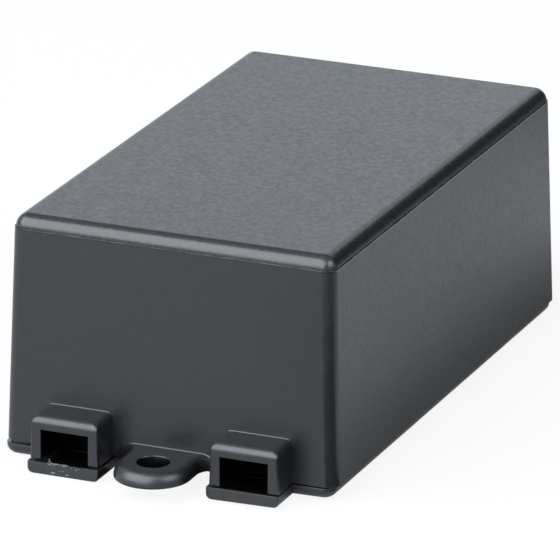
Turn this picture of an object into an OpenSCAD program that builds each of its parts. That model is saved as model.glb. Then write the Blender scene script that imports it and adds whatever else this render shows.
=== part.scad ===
// Small plastic project box in two pieces. A five-sided moulded cover carries two cable outlets
// and a screw ear at each end. A base plate pushes into it from below, and its tongues close the
// undersides of the outlets. The origin is under the middle of the base plate, with +Z up and the
// outlets at the -Y end. Millimetres.

/* [Case] */
// Outside width of the cover at its rim
case_w = 49; // [47:1:80]
// Outside length of the cover at its rim
case_l = 84; // [40:1:160]
// Height of the side walls from the rim to the parting line under the roof
wall_h = 30.3; // [12:0.1:60]
// Thickness of the side walls
wall = 1.5; // [1.2:0.1:2]
// Thickness of the roof
roof = 1.5; // [1.2:0.1:2]
// How far each side wall leans in between the rim and the parting line
draft = 0.9; // [0.3:0.1:1.5]
// Outside radius of the four upright corners at the rim
corner_r = 1.8; // [1:0.1:2.5]
// Inside radius of the four upright corners
inside_corner_r = 0.8; // [0.4:0.1:1.5]
// Radius of the edge between the roof and the side walls
crown_r = 2; // [1.2:0.1:3]
// Ledge at the parting line, where the roof is set in from the walls
parting_step = 0.1; // [0.05:0.01:0.2]

/* [Cable outlets] */
// Distance of each outlet from the middle of the end wall
outlet_x = 13.2; // [13.2:0.1:16]
// Clear width of an outlet
outlet_w = 7; // [5:0.1:7.5]
// Clear height of an outlet above the rim of the cover
outlet_h = 4.2; // [4.1:0.1:6]
// Thickness of the sides of an outlet's hood
hood_side = 1.5; // [1:0.1:1.7]
// Thickness of the top of an outlet's hood
hood_top = 1.8; // [1.5:0.1:2.5]
// How far a hood stands out from the end wall at the rim
hood_depth = 5; // [3:0.1:8]
// Radius of the two top side edges of a hood
hood_edge_r = 0.9; // [0.3:0.1:1.3]
// Radius of the top front edge of a hood
hood_front_r = 1.3; // [0.3:0.1:1.5]

/* [Screw ears] */
// Diameter of the screw holes, a clearance fit for M4
screw_d = 4.5; // [3.2:0.1:5.5]
// Distance of each screw hole from the end wall at the rim
ear_reach = 5; // [4:0.1:8]
// Radius of the round end of an ear
ear_r = 5.4; // [4.5:0.1:5.6]
// Thickness of an ear
ear_t = 2; // [1.6:0.1:3]
// Radius of the top edge of an ear
ear_edge_r = 1.3; // [0.4:0.1:1.5]
// Radius of the hollow where an ear runs out into the end wall
ear_root_r = 2.5; // [1.5:0.1:2.5]
// Chamfer round the top of a screw hole
hole_chamfer = 0.2; // [0.1:0.05:0.4]

/* [Base plate] */
// Thickness of the base plate at its outer edge
plate_t = 1.8; // [1.5:0.1:3]
// Height of the raised seat inside the shadow gap round the edge
seat_h = 0.4; // [0.1:0.05:0.5]
// Width of the shadow gap between the rim of the cover and the plate
gap_w = 0.6; // [0.3:0.1:0.9]
// Radius of the lower edge of the plate
plate_edge_r = 1.4; // [0.5:0.1:1.4]
// Radius of the lower side edges of a tongue
tongue_edge_r = 0.8; // [0.3:0.1:1.2]
// Radius of the lower front edge and the front corners of a tongue
tongue_front_r = 0.3; // [0.1:0.1:0.6]
// How far a tongue stands out beyond the hood above it, in front and at each side
tongue_margin = 0.2; // [0:0.05:0.5]
// Depth of the notch between the tongues, where the plate stops short under the ear
notch_depth = 3.5; // [2:0.1:5]
// Height of the locating rib above the seat
rib_h = 2.5; // [1.5:0.1:4]
// Thickness of the locating rib
rib_t = 1.2; // [0.8:0.1:2]
// Play between the locating rib and the inside of the walls
rib_clearance = 0.4; // [0.4:0.05:0.6]
// How far the plate sits to one side within that play
plate_shift = -0.2; // [-0.2:0.05:0.2]

/* [Hidden] */
abs_black = [0.13, 0.13, 0.135];
$fn = 48;
// Length by which a cutting solid passes the face that it cuts
past = 1;
rim_z = plate_t + seat_h;
end_y = case_l / 2;
hood_w = outlet_w + 2 * hood_side;
hood_h = outlet_h + hood_top;
screw_y = end_y + ear_reach;
roof_z = wall_h + crown_r;
// How far the walls lean in for each millimetre of height
lean = draft / wall_h;
cavity_h = roof_z - roof;
rib_w = case_w - 2 * (wall + rib_clearance);
rib_l = case_l - 2 * (wall + rib_clearance);
tongue_w = hood_w + 2 * tongue_margin;
tongue_reach = hood_depth + tongue_margin;

// Rectangle about the origin with four round corners
module round_rect(width, length, radius) {
    square([width - 2 * radius, length], center = true);
    square([width, length - 2 * radius], center = true);
    for (x = [-1, 1], y = [-1, 1])
        translate([x * (width / 2 - radius), y * (length / 2 - radius)])
            circle(r = radius);
}

// Rectangle that stands on the origin, with its two upper corners round
module arch(width, height, radius) {
    translate([-width / 2, 0])
        square([width, height - radius]);
    translate([radius - width / 2, 0])
        square([width - 2 * radius, height]);
    for (x = [-1, 1])
        translate([x * (width / 2 - radius), height - radius])
            circle(r = radius);
}

// Plan extruded up from z = 0
module upward(height)
    linear_extrude(height)
        children();

// Outline seen from the front, extruded along Y and centred on it
module along_y(length)
    rotate([90, 0, 0])
        linear_extrude(length, center = true)
            children();

// Outline seen from the side, extruded along X and centred on it
module along_x(length)
    rotate([90, 0, 90])
        linear_extrude(length, center = true)
            children();

// Block on z = 0 whose four walls lean in as they rise
module leaning_block(width, length, height, radius) {
    inset = 2 * lean * height;
    linear_extrude(height, scale = [1 - inset / width, 1 - inset / length], slices = 1)
        round_rect(width, length, radius);
}

// Quarter ball and the three others, joined into the rounded roof
module crown() {
    inset = draft + parting_step + crown_r;
    hull()
        for (x = [-1, 1], y = [-1, 1])
            translate([x * (case_w / 2 - inset), y * (end_y - inset)])
                rotate_extrude()
                    intersection() {
                        circle(r = crown_r);
                        square(crown_r);
                    }
}

// Hood over one cable outlet at the -Y end, standing out from the middle of the wall's thickness
module hood() {
    reach = 2 * (hood_depth + wall / 2);
    translate([0, wall / 2 - end_y, 0])
        intersection() {
            along_y(reach)
                arch(hood_w, hood_h, hood_edge_r);
            along_x(hood_w)
                arch(reach, hood_h, hood_front_r);
            translate([0, -reach / 4, hood_h / 2])
                cube([hood_w, reach / 2, hood_h], center = true);
        }
}

// Way for a cable through a hood and the end wall
module outlet_way() {
    length = hood_depth + wall + 2 * past;
    translate([-outlet_w / 2, -end_y - hood_depth - past, -past])
        cube([outlet_w, length, outlet_h + past]);
}

// Half outline of an ear's edge: flat, with its upper outer corner round, from radius 0 outwards
module ear_edge(radius) {
    square([radius, ear_t - ear_edge_r]);
    square([radius - ear_edge_r, ear_t]);
    translate([radius - ear_edge_r, ear_t - ear_edge_r])
        intersection() {
            circle(r = ear_edge_r);
            square(ear_edge_r);
        }
}

// The same edge turned inside out, for the hollow where an ear meets the wall
module ear_root_edge() {
    outer = ear_root_r + ear_edge_r;
    difference() {
        translate([ear_root_r, 0])
            square([ear_edge_r + wall / 2, ear_t]);
        translate([ear_root_r - past, ear_t - ear_edge_r])
            square([ear_edge_r + past, ear_edge_r + past]);
    }
    translate([outer, ear_t - ear_edge_r])
        intersection() {
            circle(r = ear_edge_r);
            translate([-ear_edge_r, 0])
                square(ear_edge_r);
        }
}

// Screw ear at the -Y end, standing out from the middle of the wall's thickness
module ear() {
    root = ear_reach + wall / 2;
    difference() {
        translate([0, -screw_y, 0]) {
            rotate_extrude()
                ear_edge(ear_r);
            translate([0, root / 2, 0])
                along_y(root)
                    for (x = [0, 1])
                        mirror([x, 0])
                            ear_edge(ear_r);
            for (x = [0, 1])
                mirror([x, 0, 0])
                    translate([ear_r + ear_root_r, ear_reach - ear_root_r, 0])
                        rotate([0, 0, 90])
                            rotate_extrude(angle = 90)
                                ear_root_edge();
        }
        screw_hole();
    }
}

module screw_hole() {
    cone_h = hole_chamfer + past;
    translate([0, -screw_y, -past])
        cylinder(d = screw_d, h = ear_t + 2 * past);
    translate([0, -screw_y, ear_t - hole_chamfer])
        cylinder(d1 = screw_d, d2 = screw_d + 2 * cone_h, h = cone_h);
}

// Cover: walls, roof, hoods and ears moulded as one piece
module cover() {
    color(abs_black)
        translate([0, 0, rim_z])
            difference() {
                union() {
                    leaning_block(case_w, case_l, wall_h, corner_r);
                    translate([0, 0, wall_h])
                        crown();
                    for (x = [-1, 1])
                        translate([x * outlet_x, 0, 0])
                            hood();
                    for (y = [0, 1])
                        mirror([0, y, 0])
                            ear();
                }
                leaning_block(case_w - 2 * wall, case_l - 2 * wall, cavity_h, inside_corner_r);
                for (x = [-1, 1])
                    translate([x * outlet_x, 0, 0])
                        outlet_way();
            }
}

// Outline of the notch between the tongues, made larger by a margin at the sides and the back
module notch(side, back) {
    half = outlet_x - tongue_w / 2 + side;
    translate([-half, -end_y - past])
        square([2 * half, past + notch_depth + back]);
}

// Plate with its lower edge rounded all the way round, also at the back of the notch
module plate_body() {
    difference() {
        intersection() {
            upward(plate_t)
                round_rect(case_w, case_l, corner_r);
            translate([0, 0, plate_t])
                mirror([0, 0, 1])
                    intersection() {
                        along_y(case_l)
                            arch(case_w, plate_t, plate_edge_r);
                        along_x(case_w)
                            arch(case_l, plate_t, plate_edge_r);
                    }
        }
        translate([0, 0, -past])
            upward(plate_t + 2 * past)
                notch(tongue_edge_r, plate_edge_r);
    }
    translate([0, notch_depth + 2 * plate_edge_r - end_y, plate_t])
        mirror([0, 0, 1])
            along_x(2 * outlet_x)
                arch(4 * plate_edge_r, plate_t, plate_edge_r);
}

// Tongue under one hood, running back beside the notch into the plate
module tongue() {
    reach = tongue_reach + notch_depth + 2 * plate_edge_r;
    translate([0, reach / 2 - tongue_reach - end_y, 0])
        intersection() {
            upward(plate_t)
                round_rect(tongue_w, reach, tongue_front_r);
            translate([0, 0, plate_t])
                mirror([0, 0, 1])
                    intersection() {
                        along_y(reach)
                            arch(tongue_w, plate_t, tongue_edge_r);
                        along_x(tongue_w)
                            arch(reach, plate_t, tongue_front_r);
                    }
        }
}

// Raised seat that the cover's rim stands on, set in from the edge by the shadow gap
module seat() {
    difference() {
        round_rect(case_w - 2 * gap_w, case_l - 2 * gap_w, corner_r - gap_w);
        notch(gap_w, gap_w);
    }
    for (x = [-1, 1])
        translate([x * outlet_x - tongue_w / 2 + gap_w, gap_w - end_y - tongue_reach])
            square([tongue_w - 2 * gap_w, tongue_reach + gap_w]);
}

// Rib that locates the plate inside the walls, open behind each outlet and set back behind the notch
module locating_rib() {
    way = outlet_w + 2 * rib_clearance;
    difference() {
        round_rect(rib_w, rib_l, inside_corner_r);
        square([rib_w - 2 * rib_t, rib_l - 2 * rib_t], center = true);
        translate([-outlet_x - way / 2, -rib_l / 2 - past])
            square([2 * outlet_x + way, rib_t + 2 * past]);
    }
    translate([way / 2 - outlet_x, notch_depth + plate_edge_r - end_y])
        square([2 * outlet_x - way, rib_t]);
}

// Base plate: plate, tongues, seat and rib moulded as one piece
module base_plate() {
    color(abs_black)
        translate([plate_shift, 0, 0]) {
            plate_body();
            for (x = [-1, 1])
                translate([x * outlet_x, 0, 0])
                    tongue();
            upward(rim_z)
                seat();
            upward(rim_z + rib_h)
                locating_rib();
        }
}

base_plate();
cover();
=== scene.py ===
import math
import bmesh
import bpy
from mathutils import Matrix, Vector, noise


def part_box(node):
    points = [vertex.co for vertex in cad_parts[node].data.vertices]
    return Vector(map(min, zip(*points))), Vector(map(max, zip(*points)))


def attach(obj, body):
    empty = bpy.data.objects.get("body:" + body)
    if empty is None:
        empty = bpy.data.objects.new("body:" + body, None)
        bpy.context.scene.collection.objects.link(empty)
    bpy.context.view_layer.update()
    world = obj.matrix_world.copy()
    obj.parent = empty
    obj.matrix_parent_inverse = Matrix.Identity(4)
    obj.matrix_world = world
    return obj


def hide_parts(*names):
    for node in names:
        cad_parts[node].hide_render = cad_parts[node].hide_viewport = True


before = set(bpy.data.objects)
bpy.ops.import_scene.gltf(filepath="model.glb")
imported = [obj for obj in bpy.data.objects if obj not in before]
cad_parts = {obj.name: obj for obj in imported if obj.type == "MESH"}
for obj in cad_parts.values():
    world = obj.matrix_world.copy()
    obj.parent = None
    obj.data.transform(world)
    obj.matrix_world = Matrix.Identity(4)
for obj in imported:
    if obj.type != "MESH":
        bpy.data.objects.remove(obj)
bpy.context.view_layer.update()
coverLow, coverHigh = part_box("cover")
plateLow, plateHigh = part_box("base_plate")
mm = 0.001
past = 1.0 * mm  # how far a cutter stands out past what it cuts
weldGap = 1e-7  # points this close are one point
sliver = 2e-6  # edges this short are left over from a cut
inPlane = 1e-6  # points this near a cutting plane lie in it

scene = bpy.context.scene
scene.view_settings.view_transform = "Standard"
coverAbs, plateAbs = (bpy.data.materials.new(name) for name in ("coverAbs", "plateAbs"))


def newObject(name, bm):
    mesh = bpy.data.meshes.new(name)
    bm.to_mesh(mesh)
    bm.free()
    obj = bpy.data.objects.new(name, mesh)
    scene.collection.objects.link(obj)
    return obj


def loft(name, rings):
    bm = bmesh.new()
    loops = [[bm.verts.new(p) for p in ring] for ring in rings]
    count = len(rings[0])
    for low, high in zip(loops, loops[1:]):
        for i in range(count):
            j = (i + 1) % count
            bm.faces.new((low[i], low[j], high[j], high[i]))
    bm.faces.new(loops[0][::-1])
    bm.faces.new(loops[-1])
    bmesh.ops.remove_doubles(bm, verts=bm.verts, dist=weldGap)  # poles of the rounded corners
    bmesh.ops.recalc_face_normals(bm, faces=bm.faces)
    return newObject(name, bm)


def quarter(step):  # the turns of a quarter round, a step in degrees apart
    return [math.radians(a) for a in range(0, 91, step)]


def roundRect(halfX, halfY, radius, z, steps=10):
    ring = []
    for corner, (sx, sy) in enumerate([(1, 1), (-1, 1), (-1, -1), (1, -1)]):
        for k in range(steps + 1):
            a = math.radians(90 * (corner + k / steps))
            ring.append(Vector((sx * (halfX - radius) + radius * math.cos(a),
                                sy * (halfY - radius) + radius * math.sin(a), z)))
    return ring


def movedX(ring, x):
    return [p + Vector((x, 0, 0)) for p in ring]


def boxBetween(name, low, high):
    corners = [(low[0], low[1]), (high[0], low[1]), (high[0], high[1]), (low[0], high[1])]
    return loft(name, [[Vector((x, y, z)) for x, y in corners] for z in (low[2], high[2])])


def settle(obj, *tools):  # the modifiers' result becomes the mesh, and the tools they used go
    graph = bpy.context.evaluated_depsgraph_get()
    mesh = bpy.data.meshes.new_from_object(obj.evaluated_get(graph), depsgraph=graph)
    obj.modifiers.clear()
    obj.data = mesh
    for tool in tools:
        bpy.data.objects.remove(tool)


def combine(body, adds=(), cuts=()):
    for operation, tools in (("UNION", adds), ("DIFFERENCE", cuts)):
        for tool in tools:
            step = body.modifiers.new(operation.lower(), "BOOLEAN")
            step.operation, step.solver, step.object = operation, "EXACT", tool
    settle(body, *adds, *cuts)


def soften(obj, width, steps, wanted):
    bm = bmesh.new()
    bm.from_mesh(obj.data)
    bmesh.ops.remove_doubles(bm, verts=bm.verts, dist=sliver)
    bmesh.ops.dissolve_degenerate(bm, edges=bm.edges, dist=sliver)
    edges = [e for e in bm.edges if len(e.link_faces) == 2 and wanted(e)]
    bmesh.ops.bevel(bm, geom=edges, offset=width, offset_type="OFFSET", segments=steps, profile=0.5,
                    affect="EDGES", clamp_overlap=False, loop_slide=True)
    bm.to_mesh(obj.data)
    bm.free()


def convexEdge(e, sharp=40):
    return e.is_convex and e.calc_face_angle(0) > math.radians(sharp)


def shade(obj, sharp=38, flatWeight=60):
    obj.data.shade_smooth()
    obj.data.set_sharp_from_angle(angle=math.radians(sharp))
    weigh = obj.modifiers.new("flatFacesLead", "WEIGHTED_NORMAL")
    weigh.keep_sharp = True
    weigh.weight = flatWeight
    settle(obj)


def newTree(name, inputs):  # a Geometry Nodes tree, and the sockets through which its values come in
    tree = bpy.data.node_groups.new(name, "GeometryNodeTree")
    for socket, kind in (("Geometry", "Geometry"), *inputs, ("Material", "Material")):
        tree.interface.new_socket(socket, in_out="INPUT", socket_type="NodeSocket" + kind)
    tree.interface.new_socket("Geometry", in_out="OUTPUT", socket_type="NodeSocketGeometry")
    return tree, tree.nodes.new("NodeGroupInput").outputs


def wire(tree, *pairs):
    for source, target in pairs:
        tree.links.new(source, target)


def endTree(tree, geometry, material):  # real geometry in its own material goes out
    real, paint = (tree.nodes.new("GeometryNode" + k) for k in ("RealizeInstances", "SetMaterial"))
    end = tree.nodes.new("NodeGroupOutput")
    wire(tree, (geometry, real.inputs["Geometry"]), (real.outputs["Geometry"], paint.inputs["Geometry"]),
         (material, paint.inputs["Material"]), (paint.outputs["Geometry"], end.inputs["Geometry"]))
    return tree


def useTree(obj, tree, values):
    step = obj.modifiers.new(tree.name, "NODES")
    step.node_group = tree
    for item in tree.interface.items_tree:
        if item.in_out == "INPUT" and item.name in values:
            step[item.identifier] = values[item.name]
    settle(obj)
    return obj


def spreadTree():  # copies of one moulded feature along a line, or turned about the middle
    tree, start = newTree("spreadCopies", (("Count", "Int"), ("Start", "Vector"), ("Step", "Vector"),
                                           ("Turn", "Float")))
    line, place, index = (tree.nodes.new("GeometryNode" + k)
                          for k in ("MeshLine", "InstanceOnPoints", "InputIndex"))
    turn, spin = (tree.nodes.new("ShaderNode" + k) for k in ("Math", "CombineXYZ"))
    turn.operation = "MULTIPLY"
    wire(tree, (start["Count"], line.inputs["Count"]), (start["Start"], line.inputs["Start Location"]),
         (start["Step"], line.inputs["Offset"]), (line.outputs["Mesh"], place.inputs["Points"]),
         (start["Geometry"], place.inputs["Instance"]), (index.outputs["Index"], turn.inputs[0]),
         (start["Turn"], turn.inputs[1]), (turn.outputs[0], spin.inputs["Z"]),
         (spin.outputs[0], place.inputs["Rotation"]))
    return endTree(tree, place.outputs["Instances"], start["Material"])


copiesTree = spreadTree()


def spread(obj, material, start=(0, 0, 0), step=(0, 0, 0), turn=0.0, count=2):
    return useTree(obj, copiesTree, {"Count": count, "Start": start, "Step": step, "Turn": turn,
                                     "Material": material})


look = {
    "turn": 22.724, "height": 19.431, "roll": 0.182,  # degrees
    "distance": 970.33 * mm, "aside": -1.324 * mm, "up": 12.092 * mm,
    "sensor": 36, "lens": 443.1,  # mm, as cameras have it
    "shift": (0.0027, 0.0002), "clip": (0.01, 20),
}


def towards(turn, height):  # turned from the front towards +X, and height above the floor, in degrees
    a, e = math.radians(turn), math.radians(height)
    return Vector((math.sin(a) * math.cos(e), -math.cos(a) * math.cos(e), math.sin(e)))


def makeCamera():
    a, g = (math.radians(look[k]) for k in ("turn", "roll"))
    back = towards(look["turn"], look["height"])
    right = Vector((math.cos(a), math.sin(a), 0))
    up = back.cross(right)
    right, up = right * math.cos(g) + up * math.sin(g), up * math.cos(g) - right * math.sin(g)
    data = bpy.data.cameras.new("productCamera")
    data.sensor_width, data.lens = look["sensor"], look["lens"]
    data.shift_x, data.shift_y = look["shift"]
    data.clip_start, data.clip_end = look["clip"]
    obj = bpy.data.objects.new("productCamera", data)
    place = Vector((0, 0, coverLow.z)) + back * look["distance"] + right * look["aside"] + up * look["up"]
    obj.matrix_world = Matrix.Translation(place) @ Matrix((right, up, back)).transposed().to_4x4()
    scene.collection.objects.link(obj)
    scene.camera = obj


makeCamera()
print("camera set")

cover = {
    "wall": 1.5 * mm, "roof": 1.5 * mm, "draft": 0.9 * mm, "cornerRadius": 1.8 * mm,
    "insideRadius": 0.8 * mm, "partingStep": 0.08 * mm, "partingGroove": 0.04 * mm,
    "crownRadius": 1.87 * mm, "crownPower": 2.2,  # 2 is a quarter round, and more is squarer
    "crownTurn": (7, 82), "crownSteps": 12,  # degrees: the rounding starts and ends with a slight edge
    "roofCorner": 0.1 * mm,  # radius that is left at the corners of the roof's flat
    "ceiling": ((0.0, 0.5 * mm), (0.15 * mm, 0.15 * mm), (0.5 * mm, 0.0)),  # how far in, and how far below
    "fineEdge": 0.1 * mm, "rootFillet": 0.2 * mm,
}
ear = {
    "reach": 5.0 * mm, "radius": 5.4 * mm, "lift": 0.1 * mm, "thickness": 2.05 * mm,
    "edgeRadius": 1.85 * mm, "edgeDepth": 1.35 * mm,  # down and across: the rim is a quarter of an ellipse
    "lowerRadius": 0.18 * mm, "rootRadius": 2.5 * mm, "steps": 16,
    "hole": 4.5 * mm, "chamfer": 0.2 * mm, "chamferKnee": 0.35, "holeSides": 64,
}
hood = {
    "x": 13.2 * mm, "width": 10.2 * mm, "height": 6.1 * mm, "depth": 5.0 * mm, "draft": 0.28 * mm,
    "sideRadius": 0.9 * mm, "frontRadius": 1.2 * mm, "cornerRadius": 0.25 * mm, "cornerSoftening": 0.75,
    "wayWidth": 7.0 * mm, "wayHeight": 4.2 * mm,
}
rimZ, topZ = coverLow.z, coverHigh.z
halfW = coverHigh.x
endY = coverHigh.y - ear["reach"] - ear["radius"]
partingZ = topZ - cover["crownRadius"]
bothSides = (-hood["x"], 0, 0), (2 * hood["x"], 0, 0)  # where the first copy goes, and the step to the next


def leaningRing(halfX, halfY, radius, z):
    lean = cover["draft"] * (z - rimZ) / (partingZ - rimZ)
    return [Vector((p.x * (1 - lean / halfX), p.y * (1 - lean / halfY), z))
            for p in roundRect(halfX, halfY, radius, z)]


def coverShell():
    rings = [leaningRing(halfW, endY, cover["cornerRadius"], z) for z in (rimZ, partingZ)]
    inset = cover["draft"] + cover["partingStep"]
    r, n = cover["crownRadius"], cover["crownPower"]
    rings.append(roundRect(halfW - inset, endY - inset, r, partingZ - cover["partingGroove"]))
    turns = [math.radians(t) for t in cover["crownTurn"]]
    arc = []
    for k in range(cover["crownSteps"] + 1):
        a = turns[0] + (turns[1] - turns[0]) * k / cover["crownSteps"]
        arc.append((math.cos(a) ** (2 / n), math.sin(a) ** (2 / n)))
    (outFirst, upFirst), (outLast, upLast) = arc[0], arc[-1]
    for out, up in arc:
        d = (outFirst - out) / (outFirst - outLast) * (r - cover["roofCorner"])
        rings.append(roundRect(halfW - inset - d, endY - inset - d, r - d,
                               partingZ + r * (up - upFirst) / (upLast - upFirst)))
    return loft("coverMoulding", rings)


def coverCavity():
    ceiling, r = topZ - cover["roof"], cover["insideRadius"]
    inX, inY = halfW - cover["wall"], endY - cover["wall"]
    rings = [leaningRing(inX, inY, r, rimZ - past)]
    rings += [leaningRing(inX - d, inY - d, r, ceiling - below) for d, below in cover["ceiling"]]
    return loft("cavity", rings)


def frontOutline(halfX, front, back, radius, z, steps=6):  # a strip with two round corners at the front
    ring = [Vector((-halfX, back, z))]
    for sx, first in ((-1, 180), (1, 270)):
        for k in range(steps + 1):
            a = math.radians(first + 90 * k / steps)
            ring.append(Vector((sx * (halfX - radius) + radius * math.cos(a),
                                front + radius + radius * math.sin(a), z)))
    return ring + [Vector((halfX, back, z))]


def edgeInset(radius, below):  # how far a quarter round has come in at this depth below its top
    return radius - math.sqrt(radius ** 2 - max(radius - below, 0) ** 2)


def oneHood():
    back, top = -endY + cover["wall"] / 2, rimZ + hood["height"]
    rings = []
    for z in [rimZ] + [top - hood["frontRadius"] * (1 - math.sin(a)) for a in quarter(9)]:
        side, front = (edgeInset(hood[k], top - z) for k in ("sideRadius", "frontRadius"))
        soft = hood["cornerRadius"] + hood["cornerSoftening"] * side  # the corner softens towards the top
        side += hood["draft"] * (z - rimZ) / hood["height"]
        rings.append(frontOutline(hood["width"] / 2 - side, -endY - hood["depth"] + front, back, soft, z))
    return loft("hoods", rings)


def oneWay():
    return boxBetween("ways", (-hood["wayWidth"] / 2, -endY - hood["depth"] - past, rimZ - past),
                      (hood["wayWidth"] / 2, -endY + cover["wall"] + past, rimZ + hood["wayHeight"]))


def earOutline(inset, z):
    r, flare, n = ear["radius"] - inset, ear["rootRadius"] + inset, ear["steps"]
    middle = Vector((ear["radius"] + ear["rootRadius"], -endY - ear["rootRadius"]))
    half = [Vector((middle.x, -endY + cover["wall"] / 2, z))]
    for k in range(n + 1):
        a = math.radians(90 + 90 * k / n)
        half.append(Vector((middle.x + flare * math.cos(a), middle.y + flare * math.sin(a), z)))
    for k in range(n + 1):
        a = math.radians(-90 * k / n)
        half.append(Vector((r * math.cos(a), -endY - ear["reach"] + r * math.sin(a), z)))
    return half + [Vector((-p.x, p.y, z)) for p in half[-2::-1]]


def oneEar():
    base = rimZ + ear["lift"]
    r, top, low = ear["edgeRadius"], base + ear["thickness"], ear["lowerRadius"]
    levels = [(low * (1 - math.sin(a)), base + low * (1 - math.cos(a))) for a in quarter(18)]
    levels += [(ear["edgeDepth"] * (1 - math.cos(a)), top - r + r * math.sin(a)) for a in quarter(9)]
    return loft("ears", [earOutline(d, z) for d, z in levels])


def oneScrewHole():
    r, top, rim = ear["hole"] / 2, rimZ + ear["lift"] + ear["thickness"], ear["chamfer"]
    knee = ear["chamferKnee"] * rim
    turns = [math.tau * k / ear["holeSides"] for k in range(ear["holeSides"])]
    return loft("holes", [[Vector((radius * math.cos(a), -endY - ear["reach"] + radius * math.sin(a), z))
                           for a in turns]
                          for radius, z in ((r, rimZ - past), (r, top - rim), (r + knee, top - knee),
                                            (r + rim + past, top + past))])


# where a fillet runs between the end wall and what grows out of it: the ears and the tops of the hoods
rootZone = {"wall": 0.4 * mm, "overRim": 0.05 * mm, "besideEar": 0.1 * mm, "earHeight": 2.5 * mm,
            "underHoodTop": 0.2 * mm, "overHoodTop": 0.1 * mm, "sharp": 25}


def rootEdge(e):
    middle = (e.verts[0].co + e.verts[1].co) / 2
    outside = abs(middle.y) > endY - rootZone["wall"] and middle.z > rimZ + rootZone["overRim"]
    byEar = (abs(middle.x) < ear["radius"] + ear["rootRadius"] + rootZone["besideEar"]
             and middle.z < rimZ + rootZone["earHeight"])
    hoodTop = rimZ + hood["height"]
    overHood = hoodTop - rootZone["underHoodTop"] < middle.z < hoodTop + rootZone["overHoodTop"]
    sharp = not e.is_convex and e.calc_face_angle(0) > math.radians(rootZone["sharp"])
    return outside and (byEar or overHood) and sharp


flash = {
    "Spacing": 0.35 * mm, "Thinnest": 0.02 * mm, "Thickest": 0.075 * mm, "Grain": 420.0, "Seed": 3.0,
    "Material": coverAbs,
}


def flashTree(detail=3, spanned=(0.38, 0.66), sides=6):  # an uneven fin along an outline of loose edges
    tree, start = newTree("flashFin", [(k, "Float") for k in flash if k != "Material"])
    curve, even, ring, skin = (tree.nodes.new("GeometryNode" + k) for k in (
        "MeshToCurve", "ResampleCurve", "CurvePrimitiveCircle", "CurveToMesh"))
    grain, span = (tree.nodes.new("ShaderNode" + k) for k in ("TexNoise", "MapRange"))
    even.mode, grain.noise_dimensions = "LENGTH", "4D"
    grain.inputs["Detail"].default_value = detail
    span.inputs["From Min"].default_value, span.inputs["From Max"].default_value = spanned
    ring.inputs["Resolution"].default_value, ring.inputs["Radius"].default_value = sides, 1
    wire(tree, (start["Geometry"], curve.inputs["Mesh"]), (curve.outputs["Curve"], even.inputs["Curve"]),
         (start["Spacing"], even.inputs["Length"]), (start["Grain"], grain.inputs["Scale"]),
         (start["Seed"], grain.inputs["W"]), (grain.outputs[0], span.inputs["Value"]),
         (start["Thinnest"], span.inputs["To Min"]), (start["Thickest"], span.inputs["To Max"]),
         (even.outputs["Curve"], skin.inputs["Curve"]), (ring.outputs["Curve"], skin.inputs["Profile Curve"]),
         (span.outputs["Result"], skin.inputs["Scale"]))
    return endTree(tree, skin.outputs["Mesh"], start["Material"])


def addFlash(obj):
    bm = bmesh.new()
    outline = leaningRing(halfW, endY, cover["cornerRadius"], partingZ - cover["partingGroove"])
    verts = [bm.verts.new(p) for p in outline]
    for a, b in zip(verts, verts[1:] + verts[:1]):
        bm.edges.new((a, b))
    bmesh.ops.remove_doubles(bm, verts=bm.verts, dist=weldGap)
    fin = useTree(newObject("flash", bm), flashTree(), flash)
    print("flash fin made:", len(fin.data.polygons), "faces")
    bm = bmesh.new()
    bm.from_mesh(fin.data)
    bmesh.ops.recalc_face_normals(bm, faces=bm.faces)
    bm.from_mesh(obj.data)
    bm.to_mesh(obj.data)
    bm.free()
    bpy.data.objects.remove(fin)


def makeCover():
    obj = coverShell()
    hoods, ways = (spread(o, coverAbs, *bothSides) for o in (oneHood(), oneWay()))
    ears, holes = (spread(o, coverAbs, turn=math.pi) for o in (oneEar(), oneScrewHole()))
    combine(obj, adds=(hoods, ears), cuts=(coverCavity(), ways, holes))
    soften(obj, cover["rootFillet"], 3, rootEdge)
    soften(obj, cover["fineEdge"], 2, convexEdge)
    addFlash(obj)
    shade(obj)
    return obj


coverPiece = makeCover()
print("cover made:", len(coverPiece.data.polygons), "faces")

plate = {
    "thickness": 1.8 * mm, "edgeRadius": 1.4 * mm, "cornerRadius": 1.8 * mm, "fineEdge": 0.12 * mm,
    "gap": 0.6 * mm, "notchDepth": 3.5 * mm,
    "tongueMargin": 0.2 * mm, "tongueSideRadius": 0.8 * mm, "tongueFrontRadius": 0.3 * mm,
    "padFront": 2.2 * mm, "padPlay": 0.1 * mm, "ribThickness": 1.2 * mm, "play": 0.4 * mm,
    "shyRight": 0.3 * mm,  # how far the right edge stays in under the rim
    "warpLeft": -0.1 * mm, "warpRight": 0.25 * mm, "liftRight": 0.42 * mm,  # the moulding sits a little askew
    # sunk into one another, or moved a hair, so that no two faces that are joined lie in one plane
    "seatSunk": 0.5 * mm, "padSunk": 0.49 * mm, "ribSunk": 0.4 * mm,
    "tongueUp": 0.008 * mm, "notchUp": 0.004 * mm, "padDown": 0.004 * mm,
    "topSlack": 0.01 * mm,  # a point this little above the plate's top still belongs to it
}
plateTop = plateLow.z + plate["thickness"]
plateX = (plateLow.x + plateHigh.x) / 2
tongueW = hood["width"] / 2 + plate["tongueMargin"]
notchW = hood["x"] - tongueW
notchY = -endY + plate["notchDepth"]
plateSides = (plateX - hood["x"], 0, 0), bothSides[1]


def warpAt(x):  # how far the top of the plate stands over or under its level
    along = (x - plateLow.x) / (plateHigh.x - plateLow.x)
    return plate["warpLeft"] + (plate["warpRight"] - plate["warpLeft"]) * along


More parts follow.
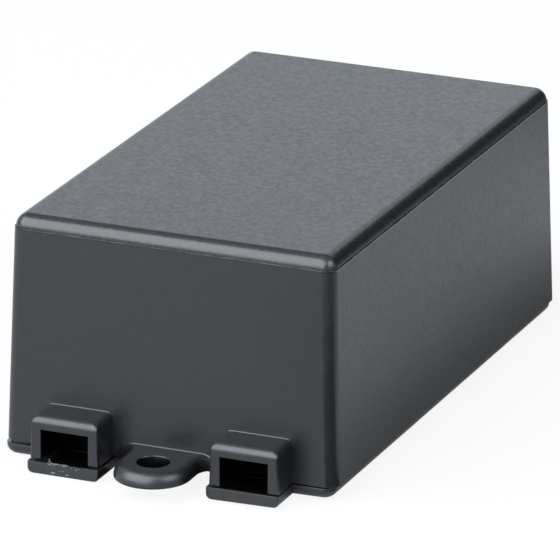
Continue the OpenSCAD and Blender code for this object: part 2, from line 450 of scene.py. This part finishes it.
def settleAskew(obj):
    bm = bmesh.new()
    bm.from_mesh(obj.data)
    bmesh.ops.bisect_plane(bm, geom=bm.verts[:] + bm.edges[:] + bm.faces[:], dist=inPlane,
                           plane_co=(0, 0, 0), plane_no=(1, 0, 0))
    for v in bm.verts:
        if v.co.z < plateTop + plate["topSlack"]:
            up = (v.co.z - plateLow.z) / plate["thickness"]
            low = plate["liftRight"] * max(v.co.x, 0) / plateHigh.x
            v.co.z += up * warpAt(v.co.x) + (1 - up) * low
    bm.to_mesh(obj.data)
    bm.free()
    return obj


def undercutLevels(radius):  # inset and height up a rounded lower edge, then up to the top of the plate
    return [(radius * (1 - math.sin(a)), plateLow.z + radius * (1 - math.cos(a)))
            for a in quarter(10)] + [(0, plateTop)]


def plateBody():
    right = plateHigh.x - plate["shyRight"]
    middle, halfX = (plateLow.x + right) / 2, (right - plateLow.x) / 2
    rings = [movedX(roundRect(halfX - d, endY - d, plate["cornerRadius"] - d, z), middle)
             for d, z in undercutLevels(plate["edgeRadius"])]
    return settleAskew(loft("plateMoulding", rings))


def notchCut(side, back, low, high):
    return boxBetween("notch", (plateX - notchW - side, -endY - past, low),
                      (plateX + notchW + side, notchY + back, high))


def notchBack():  # the edge of the plate behind the notch, rounded below like the others
    left, right, back = plateX - hood["x"], plateX + hood["x"], notchY + 4 * plate["edgeRadius"]
    rings = []
    for d, z in undercutLevels(plate["edgeRadius"]):
        front = notchY + d
        corners = (left, front), (right, front), (right, back), (left, back)
        rings.append([Vector((x, y, z)) for x, y in corners])
    bar = settleAskew(loft("notchBack", rings))
    bar.data.transform(Matrix.Translation((0, 0, plate["notchUp"])))
    return bar


def bothTongues():
    front, rings = plate["tongueFrontRadius"], []
    for d, z in undercutLevels(plate["tongueSideRadius"]):
        rings.append(frontOutline(tongueW - d, plateLow.y + edgeInset(front, z - plateLow.z),
                                  notchY + 2 * plate["edgeRadius"], front, z))
    tongues = settleAskew(spread(loft("tongues", rings), plateAbs, *plateSides))
    tongues.data.transform(Matrix.Translation((0, 0, plate["tongueUp"])))
    return tongues


def onePairOfPads():  # under the posts of a hood, with the way's floor between them
    inner, outer = hood["wayWidth"] / 2 + plate["padPlay"], tongueW - plate["gap"]
    low = plateLow.y + plate["padFront"], plateTop - plate["padSunk"]
    high = -endY + 2 * plate["gap"], rimZ - plate["padDown"]
    pads = [boxBetween("pads", (x, *low), (x + outer - inner, *high)) for x in (-outer, inner)]
    combine(pads[0], adds=pads[1:])
    return pads[0]


def makeSeat():
    gap = plate["gap"]
    seat = loft("seat", [movedX(roundRect(halfW - gap, endY - gap, plate["cornerRadius"] - gap, z), plateX)
                         for z in (plateTop - plate["seatSunk"], rimZ)])
    combine(seat, cuts=(notchCut(gap, gap, plateLow.z, rimZ + past),))
    return seat


def makeRib():
    play, rib, foot = plate["play"], plate["ribThickness"], plateTop - plate["ribSunk"]
    inX, inY = halfW - cover["wall"] - play, endY - cover["wall"] - play
    body = loft("rib", [roundRect(inX, inY, cover["insideRadius"], z) for z in (foot, plateHigh.z)])
    half, top = hood["wayWidth"] / 2 + play, plateHigh.z + past
    inside = boxBetween("ribInside", (rib - inX, rib - inY, rimZ), (inX - rib, inY - rib, top))
    front = boxBetween("ribFront", (-hood["x"] - half, -inY - past, rimZ),
                       (hood["x"] + half, rib - inY + past / 2, top))
    combine(body, cuts=(inside, front))
    y = notchY + plate["edgeRadius"]
    setBack = boxBetween("ribSetBack", (half - hood["x"], y, foot), (hood["x"] - half, y + rib, plateHigh.z))
    combine(body, adds=(setBack,))
    body.data.transform(Matrix.Translation((plateX, 0, 0)))
    return body


# where the gate was broken off: low lumps on the front of the left tongue
scar = {
    "low": (-16.3 * mm, 0.15 * mm), "high": (-10.3 * mm, 1.78 * mm), "step": 0.09 * mm, "seed": 5.3,
    "roughness": 0.035 * mm, "grain": 2600, "deepest": -0.02 * mm, "sunk": 0.012 * mm, "behind": 0.12 * mm,
    "fadeSides": 6, "fadeLow": 5, "fadeHigh": 9, "keptHigh": 0.25,  # how steeply it runs out at its edges
    "lumps": [  # x, z, width, height, how far it stands out, all in mm
        (-15.35, 1.66, 0.30, 0.16, 0.16), (-14.6, 1.55, 0.45, 0.10, 0.09), (-13.2, 1.58, 0.35, 0.08, 0.08),
        (-12.0, 1.42, 0.12, 0.25, 0.10), (-11.3, 1.40, 0.22, 0.09, 0.12), (-10.9, 1.58, 0.25, 0.07, 0.10),
        (-14.95, 1.05, 0.40, 0.20, 0.08), (-14.8, 0.42, 0.45, 0.14, 0.16), (-13.95, 0.30, 0.35, 0.11, 0.12),
        (-13.3, 0.82, 0.13, 0.11, 0.20), (-13.85, 0.80, 0.18, 0.12, 0.11), (-12.7, 0.40, 0.35, 0.13, 0.13),
        (-12.3, 0.85, 0.14, 0.35, 0.08), (-13.1, 1.25, 0.20, 0.20, -0.06), (-11.9, 0.75, 0.10, 0.30, -0.05),
        (-15.6, 0.8, 0.15, 0.4, 0.04),
    ],
}
# the torn upper edge of the scar, with a nub that was drawn up
burr = {
    "below": 0.22, "behind": 0.05,  # where it starts: mm under the tongue's edge, and mm behind its front
    "lean": 0.10, "sideways": 0.6,  # how far a nub leans back for its height, and how much of that sideways
    "sides": 10,
    "course": [  # x, how far it stands over the tongue's edge, half its depth, all in mm
        (-15.80, -0.10, 0.03), (-15.65, 0.06, 0.09), (-15.54, 0.36, 0.11), (-15.45, 0.66, 0.10),
        (-15.36, 0.70, 0.10), (-15.27, 0.46, 0.13), (-15.12, 0.22, 0.15), (-14.90, 0.10, 0.15),
        (-14.62, 0.09, 0.12), (-14.35, 0.15, 0.12), (-14.00, 0.08, 0.10), (-13.60, 0.06, 0.09),
        (-13.20, 0.12, 0.10), (-12.85, 0.14, 0.10), (-12.60, 0.04, 0.09), (-12.35, -0.03, 0.07),
        (-12.15, -0.14, 0.06), (-12.00, -0.20, 0.06), (-11.82, -0.08, 0.06), (-11.60, 0.04, 0.06),
        (-11.30, -0.04, 0.05), (-11.00, -0.12, 0.03),
    ],
}


def tornEdge():
    rings = []
    for x, over, deep in burr["course"]:
        edge = plateTop + warpAt(x * mm)
        low, high = edge - burr["below"] * mm, edge + over * mm
        y = plateLow.y + (burr["behind"] + deep / 2) * mm
        ring = []
        for k in range(burr["sides"]):
            a = math.tau * k / burr["sides"]
            lean = burr["lean"] * mm * max(over, 0) * math.sin(a)
            ring.append(Vector((x * mm + lean * burr["sideways"], y - deep * mm * math.cos(a) + lean,
                                (low + high) / 2 + (high - low) / 2 * math.sin(a))))
        rings.append(ring)
    return loft("tornEdge", rings)


def scarHeight(x, z):
    h = 0
    for lumpX, lumpZ, wide, high, out in scar["lumps"]:
        h += out * math.exp(-((x / mm - lumpX) / wide) ** 2 - ((z / mm - lumpZ) / high) ** 2)
    h *= mm
    return h + scar["roughness"] * noise.noise(Vector((x, z, scar["seed"] * mm)) * scar["grain"])


def addScar(obj):
    (x0, z0), (x1, z1), step = scar["low"], scar["high"], scar["step"]
    countX, countZ = round((x1 - x0) / step), round((z1 - z0) / step)
    bm = bmesh.new()
    bm.from_mesh(obj.data)
    front, back = [], []
    for i in range(countX + 1):
        for k in range(countZ + 1):
            u, w = i / countX, k / countZ
            x, z = x0 + (x1 - x0) * u, z0 + (z1 - z0) * w
            fade = min(1, scar["fadeSides"] * u, scar["fadeSides"] * (1 - u), scar["fadeLow"] * w,
                       scar["fadeHigh"] * (1 - w) + scar["keptHigh"])
            out = max(scarHeight(x, z), scar["deepest"]) * fade - scar["sunk"]
            front.append(bm.verts.new((x, plateLow.y - out, z)))
            back.append(bm.verts.new((x, plateLow.y + scar["behind"], z)))
    rows = countZ + 1
    for i in range(countX):
        for k in range(countZ):
            a, b, c, d = i * rows + k, (i + 1) * rows + k, (i + 1) * rows + k + 1, i * rows + k + 1
            bm.faces.new((front[a], front[b], front[c], front[d]))
            bm.faces.new((back[a], back[d], back[c], back[b]))
    rim = [i * rows for i in range(countX + 1)] + [countX * rows + k for k in range(1, rows)]
    rim += [i * rows + rows - 1 for i in range(countX - 1, -1, -1)] + list(range(rows - 2, 0, -1))
    for a, b in zip(rim, rim[1:] + rim[:1]):
        bm.faces.new((front[b], front[a], back[a], back[b]))
    torn = tornEdge()
    bm.from_mesh(torn.data)
    bpy.data.objects.remove(torn)
    bmesh.ops.recalc_face_normals(bm, faces=bm.faces)
    bm.to_mesh(obj.data)
    bm.free()


def makePlate():
    obj = plateBody()
    combine(obj, cuts=(notchCut(plate["tongueSideRadius"], plate["edgeRadius"], plateLow.z - past, rimZ),))
    pads = spread(onePairOfPads(), plateAbs, *plateSides)
    combine(obj, adds=(notchBack(), bothTongues(), makeSeat(), pads, makeRib()))
    soften(obj, plate["fineEdge"], 2, convexEdge)
    addScar(obj)
    shade(obj)
    return obj


platePiece = makePlate()
print("base plate made:", len(platePiece.data.polygons), "faces")


def feed(tree, node, values):  # a plain value is set on its socket, and a socket is linked to it
    for key, value in values.items():
        if isinstance(value, bpy.types.NodeSocket):
            tree.links.new(value, node.inputs[key])
        else:
            node.inputs[key].default_value = value
    return node


def shaderNode(tree, kind, values=None):
    return feed(tree, tree.nodes.new("ShaderNode" + kind), values or {})


def calc(tree, operation, *values):
    made = shaderNode(tree, "Math", dict(enumerate(values)))
    made.operation = operation
    return made.outputs[0]


def mapped(tree, value, source=(0.0, 1.0), target=(0.0, 1.0)):
    ends = {"From Min": source[0], "From Max": source[1], "To Min": target[0], "To Max": target[1]}
    return shaderNode(tree, "MapRange", {"Value": value, **ends}).outputs["Result"]


def mixedColour(tree, factor, first, second):
    made = tree.nodes.new("ShaderNodeMix")
    made.data_type = "RGBA"
    return feed(tree, made, {"Factor": factor, "A": first, "B": second}).outputs["Result"]


def grainy(tree, where, scale, detail, roughness=0.5):
    values = {"Vector": where, "Scale": scale, "Detail": detail, "Roughness": roughness}
    return shaderNode(tree, "TexNoise", values).outputs["Fac"]


moulding = {
    "ior": 1.54, "specularLevel": 0.5, "sheenTint": (0.925, 0.955, 1.0, 1),
    "mottle": (1100.0, 4.0, 0.65), "patches": (1400.0, 3.0),  # scale, detail, roughness
    "patchSpan": (0.3, 0.7),
    "roofEdge": (0.35 * mm, 0.02 * mm), "wallEdge": (2.25 * mm, 1.9 * mm),  # depths below the highest face
    "sparkDetail": (2.0, 0.6), "swellDetail": 1.0,
}
coverFinish = {
    "colour": (0.0036, 0.0037, 0.0042, 1), "paleColour": (0.0066, 0.0068, 0.0076, 1),
    "roofRoughness": 0.42, "wallRoughness": 0.34, "crownRoughness": 0.28, "unevenness": 0.05,
    "sparkScale": 3400.0, "sparkDepth": 0.010 * mm, "swellScale": 90.0, "swellDepth": 0.005 * mm,
}
plateFinish = {
    "colour": (0.0068, 0.0069, 0.0076, 1), "paleColour": (0.0108, 0.0110, 0.0118, 1),
    "roofRoughness": 0.36, "wallRoughness": 0.33, "crownRoughness": 0.33, "unevenness": 0.06,
    "sparkScale": 3600.0, "sparkDepth": 0.004 * mm, "swellScale": 140.0, "swellDepth": 0.008 * mm,
}
# painted shade: the insides of the cable ways and the screw holes get a blacker colour and a duller gloss,
# standing in for the shade in these recesses
recessShadeFinish = {
    "colour": (0.0008, 0.0008, 0.0009, 1), "specularLevel": 0.12, "slack": 0.03 * mm, "fade": 0.35 * mm,
}


# painted shade: marks the insides of the cable ways and the screw holes, which are coloured blacker and
# duller
def recessShadeMask(tree, x, y, z):
    slack, mouth = recessShadeFinish["slack"], -endY - hood["depth"]
    across = calc(tree, "ABSOLUTE", calc(tree, "SUBTRACT", calc(tree, "ABSOLUTE", x), hood["x"]))
    way = calc(tree, "LESS_THAN", across, hood["wayWidth"] / 2 + slack)
    for inside in (mapped(tree, y, (mouth + slack, mouth + recessShadeFinish["fade"])),
                   calc(tree, "LESS_THAN", y, cover["wall"] - endY),
                   calc(tree, "LESS_THAN", z, rimZ + hood["wayHeight"] + slack),
                   calc(tree, "GREATER_THAN", z, plateTop - slack)):
        way = calc(tree, "MULTIPLY", way, inside)
    along = calc(tree, "SUBTRACT", calc(tree, "ABSOLUTE", y), endY + ear["reach"])
    squares = (calc(tree, "MULTIPLY", d, d) for d in (x, along))
    hole = calc(tree, "LESS_THAN", calc(tree, "SQRT", calc(tree, "ADD", *squares)), ear["hole"] / 2 + slack)
    return calc(tree, "MAXIMUM", way, hole)


def mouldedPlastic(material, finish, highest):
    material.use_nodes = True
    tree = material.node_tree
    where = shaderNode(tree, "TexCoord").outputs["Object"]
    x, y, z = shaderNode(tree, "SeparateXYZ", {"Vector": where}).outputs
    # painted shade in the cable ways and the screw holes
    shadedRecess = recessShadeMask(tree, x, y, z)
    tone = mixedColour(tree, grainy(tree, where, *moulding["mottle"]), finish["colour"], finish["paleColour"])

    # the tool was textured on the roof, drawn smoother on the walls and smoothest round the crown
    roofEdge, wallEdge = ([highest - d for d in moulding[k]] for k in ("roofEdge", "wallEdge"))
    roof = mapped(tree, z, roofEdge, (finish["crownRoughness"], finish["roofRoughness"]))
    aboveWall = calc(tree, "MULTIPLY", roof, mapped(tree, z, wallEdge))
    wall = mapped(tree, z, wallEdge, (finish["wallRoughness"], 0.0))
    patches = mapped(tree, grainy(tree, where, *moulding["patches"]), moulding["patchSpan"],
                     (-finish["unevenness"], finish["unevenness"]))

    # spark-eroded grain on top of the slow swell that cooling plastic takes
    swell = grainy(tree, where, finish["swellScale"], moulding["swellDetail"])
    spark = grainy(tree, where, finish["sparkScale"], *moulding["sparkDetail"])
    slow = shaderNode(tree, "Bump", {"Distance": finish["swellDepth"], "Height": swell})
    grain = shaderNode(tree, "Bump", {"Distance": finish["sparkDepth"], "Height": spark,
                                      "Normal": slow.outputs["Normal"]})
    # painted shade: the cable ways and the screw holes take a blacker colour and less gloss
    levels = moulding["specularLevel"], recessShadeFinish["specularLevel"]
    feed(tree, tree.nodes["Principled BSDF"], {
        "Base Color": mixedColour(tree, shadedRecess, tone, recessShadeFinish["colour"]),
        "Roughness": calc(tree, "ADD", calc(tree, "MAXIMUM", aboveWall, wall), patches),
        "IOR": moulding["ior"], "Specular Tint": moulding["sheenTint"],
        "Specular IOR Level": mapped(tree, shadedRecess, target=levels), "Normal": grain.outputs["Normal"],
    })


mouldedPlastic(coverAbs, coverFinish, topZ)
mouldedPlastic(plateAbs, plateFinish, plateHigh.z)
for obj, material in ((coverPiece, coverAbs), (platePiece, plateAbs)):
    obj.data.materials.clear()
    obj.data.materials.append(material)
print("plastics made")

stage = {
    "floorRadius": 4, "floorSides": 96, "floorHeight": -0.1 * mm, "floorColour": (0.62, 0.64, 0.685, 1),
    "cameraWhite": 0.88, "glossyWhite": 0.08,  # how much of the floor glows for each kind of ray
    "fill": (0.10, 0.10, 0.10, 1), "coolWhite": (0.90, 0.98, 1.06, 1), "white": (1, 1, 1, 1),
    "aimedAt": Vector((0, 0, 0.02)), "cardHeight": 0.3 * mm,
    # turned from the front and height above the floor (degrees), distance, size (m), radiance, colour
    "banks": {
        "leftBank": (-28, 39, 1.4, (2.3, 1.6), 5.45, (1, 1, 1)),
        "rightBank": (76, 36, 1.2, (0.8, 0.7), 4.5, (0.95, 1.02, 1.06)),
        "rearBank": (203, 19, 1.2, (1.0, 0.42), 0.87, (0.94, 1.0, 1.06)),
    },
    # dark cards that only reflections see: the same places and sizes, and the tone
    "standingCards": {
        "cardBehind": (147, 16, 1.6, (1.6, 1.05), 0.08),
        "cardHigh": (188, 53, 1.6, (2.4, 0.5), 0.01),
    },
    # more of them on the floor: outline in mm, and the tone
    "lyingCards": {
        "cardLow": ([(24, -43.5), (15, -85), (-6, -120), (-14, -155), (190, -155), (190, -36), (25.5, -36),
                     (25.5, -43.5)], 0.05),
        "cardFar": ([(150, -30), (700, -150), (800, 900), (60, 900), (40, 150), (110, 110)], 0.19),
        # painted shade: a dark strip of floor along the long side, seen only in reflections, stands in for
        # the shade the box casts on the floor there
        "floorShadeBySide": ([(24.6, -36), (37, -36), (37, 70), (24.6, 70)], 0.40),
        # painted shade: a dark patch of floor in front of the ear, seen only in reflections, stands in for
        # the shade on the floor around the ear and the end wall
        "floorShadeByEar": ([(-8, -42), (-8, -47.5), (-5.5, -55), (2.5, -55), (7.5, -48), (7.5, -42)], 0.01),
    },
}


def makeFloor():
    bm = bmesh.new()
    bmesh.ops.create_circle(bm, cap_ends=True, radius=stage["floorRadius"],
                            segments=stage["floorSides"])
    bmesh.ops.translate(bm, verts=bm.verts, vec=(0, 0, stage["floorHeight"]))
    obj = newObject("floor", bm)
    material = bpy.data.materials.new("paperSweep")
    material.use_nodes = True
    tree = material.node_tree
    tree.nodes.clear()
    ray = shaderNode(tree, "LightPath").outputs
    direct = calc(tree, "ADD", ray["Is Camera Ray"], ray["Is Transmission Ray"])
    glossy = calc(tree, "MULTIPLY", ray["Is Glossy Ray"], stage["glossyWhite"])
    glowing = calc(tree, "MULTIPLY_ADD", direct, stage["cameraWhite"], glossy)
    glowing.node.use_clamp = True
    matt = shaderNode(tree, "BsdfDiffuse", {"Color": stage["floorColour"]})
    glow = shaderNode(tree, "Emission")
    mix = shaderNode(tree, "MixShader", {0: glowing, 1: matt.outputs[0], 2: glow.outputs[0]})
    shaderNode(tree, "OutputMaterial", {"Surface": mix.outputs[0]})
    obj.data.materials.append(material)


def makeWorld():
    world = bpy.data.worlds.new("studio")
    world.use_nodes = True
    scene.world = world
    tree, colour = world.node_tree, stage["fill"]
    ray = shaderNode(tree, "LightPath").outputs
    for kind, seen in (("Is Glossy Ray", "coolWhite"), ("Is Camera Ray", "white"),
                       ("Is Transmission Ray", "white")):
        colour = mixedColour(tree, ray[kind], colour, stage[seen])
    feed(tree, tree.nodes["Background"], {"Color": colour})


def aim(obj, turn, height, distance):
    place = towards(turn, height) * distance + stage["aimedAt"]
    obj.rotation_mode = "QUATERNION"
    obj.rotation_quaternion = (stage["aimedAt"] - place).to_track_quat("-Z", "Y")
    obj.location = place


def lightBank(name, size, radiance, colour):
    data = bpy.data.lights.new(name, "AREA")
    data.shape, data.size, data.size_y = "RECTANGLE", *size
    data.energy, data.color = radiance * math.pi * size[0] * size[1], colour
    obj = bpy.data.objects.new(name, data)
    obj.visible_camera = False
    scene.collection.objects.link(obj)
    return obj


def darkCard(name, outline, tone):
    bm = bmesh.new()
    bm.faces.new([bm.verts.new((x, y, 0)) for x, y in outline])
    obj = newObject(name, bm)
    material = bpy.data.materials.new(name + "Velvet")
    material.use_nodes = True
    feed(material.node_tree, material.node_tree.nodes["Principled BSDF"],
         {"Base Color": (tone, tone, tone, 1), "Roughness": 1, "Specular IOR Level": 0})
    obj.data.materials.append(material)
    obj.visible_camera = obj.visible_diffuse = obj.visible_shadow = obj.visible_transmission = False
    return obj


makeFloor()
makeWorld()
for name, (turn, height, distance, *lamp) in stage["banks"].items():
    aim(lightBank(name, *lamp), turn, height, distance)
for name, (turn, height, distance, (wide, tall), tone) in stage["standingCards"].items():
    corners = [(x * wide / 2, y * tall / 2) for x, y in ((-1, -1), (1, -1), (1, 1), (-1, 1))]
    card = darkCard(name, corners, tone)
    aim(card, turn, height, distance)
for name, (outline, tone) in stage["lyingCards"].items():
    card = darkCard(name, [(x * mm, y * mm) for x, y in outline], tone)
    card.location.z = stage["cardHeight"]
print("stage set")

for piece, body, node, slot in ((coverPiece, "top", "cover", "cover_plastic"),
                                (platePiece, "base", "base_plate", "base_plastic")):
    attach(piece, body)
    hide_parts(node)
